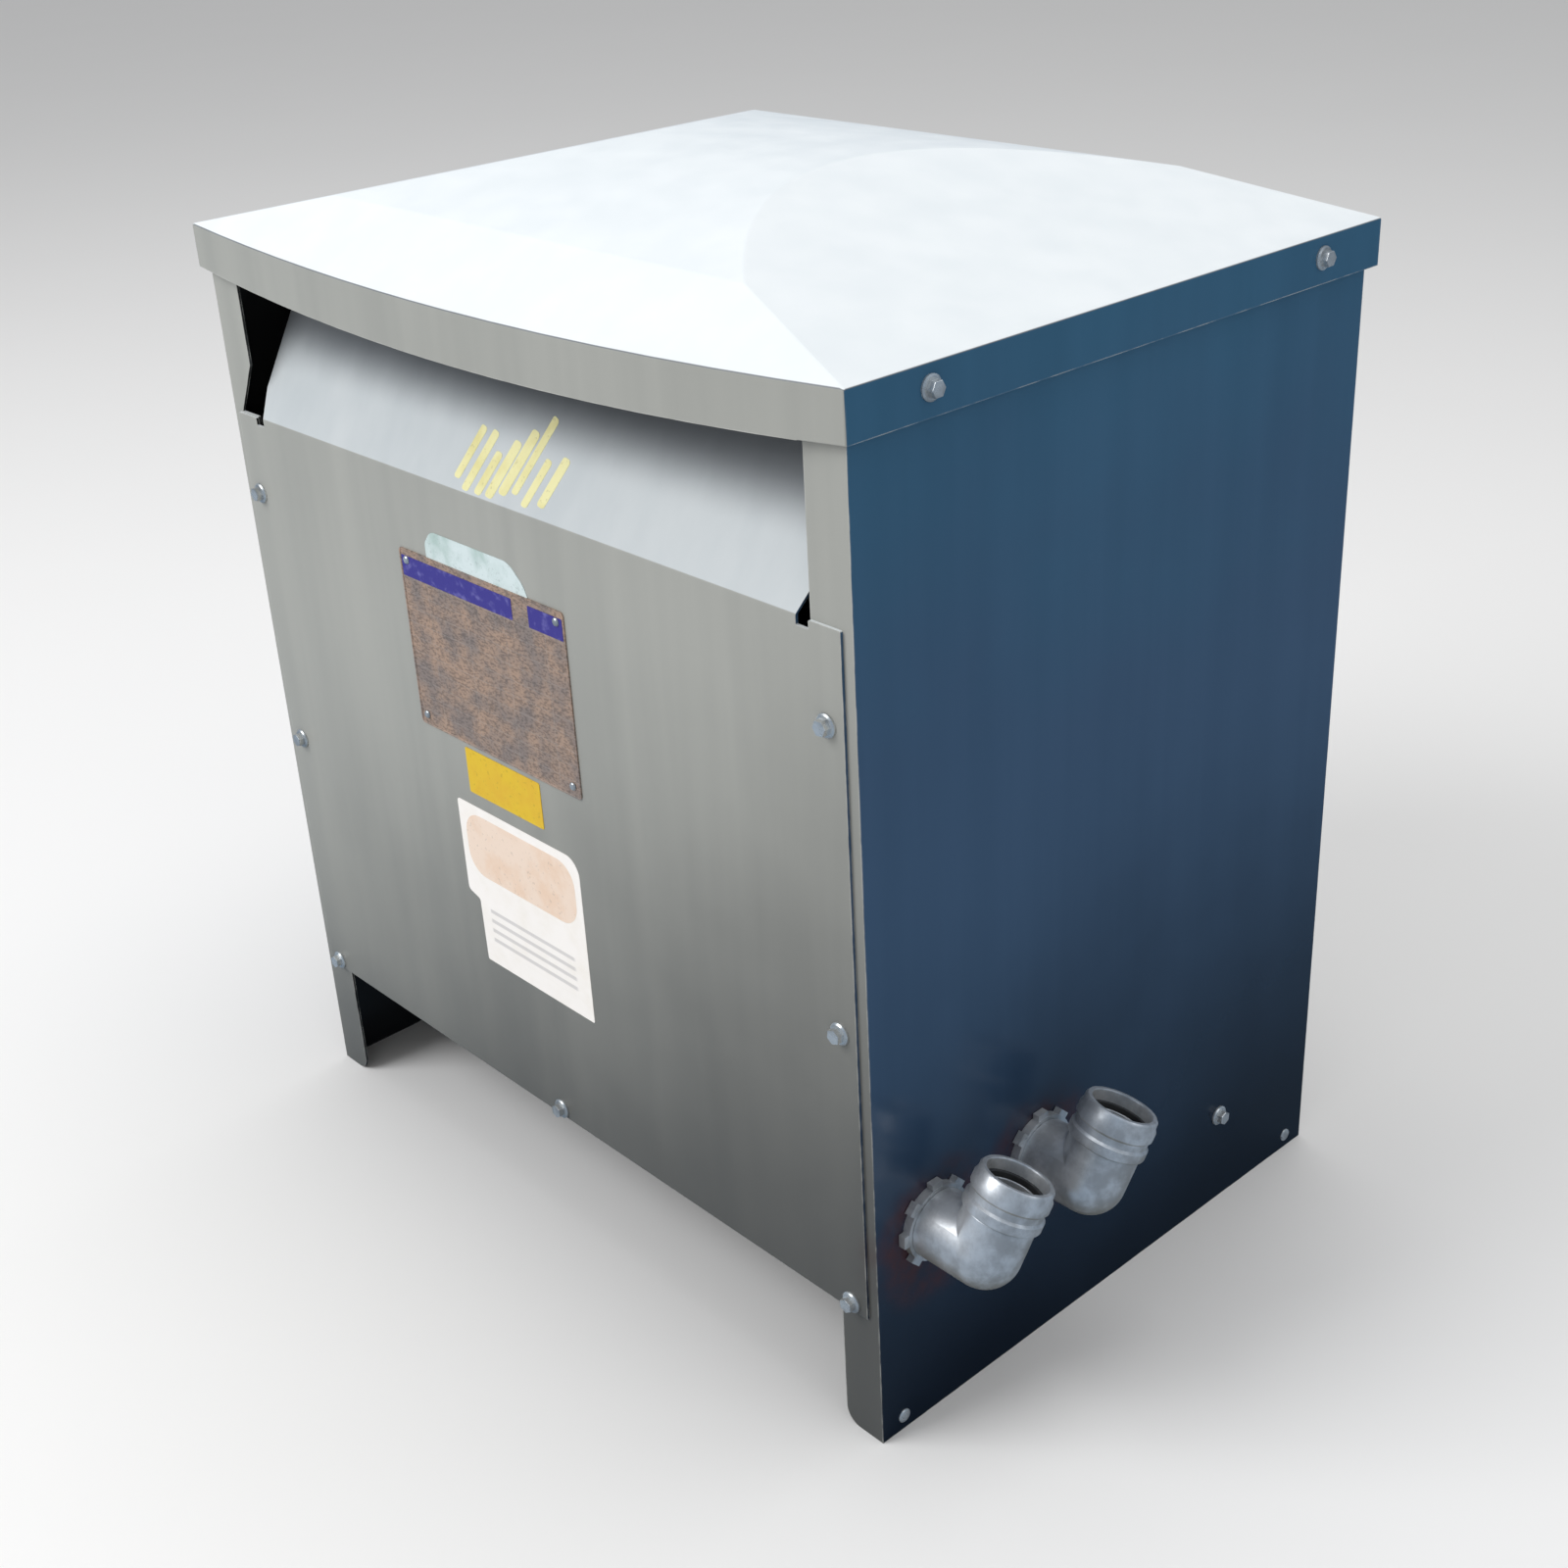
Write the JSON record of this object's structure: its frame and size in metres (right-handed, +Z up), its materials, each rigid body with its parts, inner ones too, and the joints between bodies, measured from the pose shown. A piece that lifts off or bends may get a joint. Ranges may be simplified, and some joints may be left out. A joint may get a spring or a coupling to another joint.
{
  "type": "dry-type power transformer",
  "caption": "Ventilated dry-type power transformer: core and coils in a grey sheet-steel cabinet with sloped vent hoods, a hipped lid and conduit elbows on one side.",
  "frame": {"origin": "centre of the cabinet's footprint, on the floor it stands on", "axes": "+Z up, the front faces -Y, +X is to the right as one faces the front, where the conduit elbows are"},
  "size_m": [0.7414, 0.5, 0.758],
  "materials": {
    "cabinet_paint": "semi-gloss grey paint on folded steel sheet",
    "zinc_screw": "bright zinc plate",
    "conduit_zinc": "dull zinc plate on cast iron",
    "seal": "black moulded seal",
    "core_steel": "stacked laminations under dark varnish",
    "insulating_board": "pressed fibre board",
    "varnished_winding": "varnished wrapped winding",
    "pad_rubber": "moulded rubber",
    "lug_aluminium": "satin",
    "frame_steel": "dark paint on rolled steel",
    "plate_metal": "dull etched metal with a blue band",
    "pale_film": "pale film",
    "yellow_film": "yellow film",
    "white_film": "white film"
  },
  "bodies": {
    "root": {"base_bolts": "zinc_screw", "base_channel_front": "frame_steel", "base_channel_rear": "frame_steel", "clamp_tie_bolts": "frame_steel", "coil_left": "varnished_winding", "coil_middle": "varnished_winding", "coil_right": "varnished_winding", "coil_spacers": "insulating_board", "conduit_elbow_front": "conduit_zinc", "conduit_elbow_rear": "conduit_zinc", "conduit_locknut_front": "conduit_zinc", "conduit_locknut_rear": "conduit_zinc", "conduit_nut_front": "conduit_zinc", "conduit_nut_rear": "conduit_zinc", "conduit_ring_front": "conduit_zinc", "conduit_ring_rear": "conduit_zinc", "conduit_seal_front": "seal", "conduit_seal_rear": "seal", "foot_screws": "zinc_screw", "front_cover": "cabinet_paint", "front_cover_screws": "zinc_screw", "isolation_pads": "pad_rubber", "laminated_core": "core_steel", "lid": "cabinet_paint", "lid_screws": "zinc_screw", "lower_clamp_front": "frame_steel", "lower_clamp_rear": "frame_steel", "pale_strip": "pale_film", "plate_rivets": "plate_metal", "rating_plate": "plate_metal", "rear_cover": "cabinet_paint", "rear_cover_screws": "zinc_screw", "side_panel_left": "cabinet_paint", "side_panel_right": "cabinet_paint", "terminal_board": "insulating_board", "terminal_lugs": "lug_aluminium", "upper_clamp_front": "frame_steel", "upper_clamp_rear": "frame_steel", "white_sticker": "white_film", "yellow_sticker": "yellow_film"}
  },
  "joints": []
}
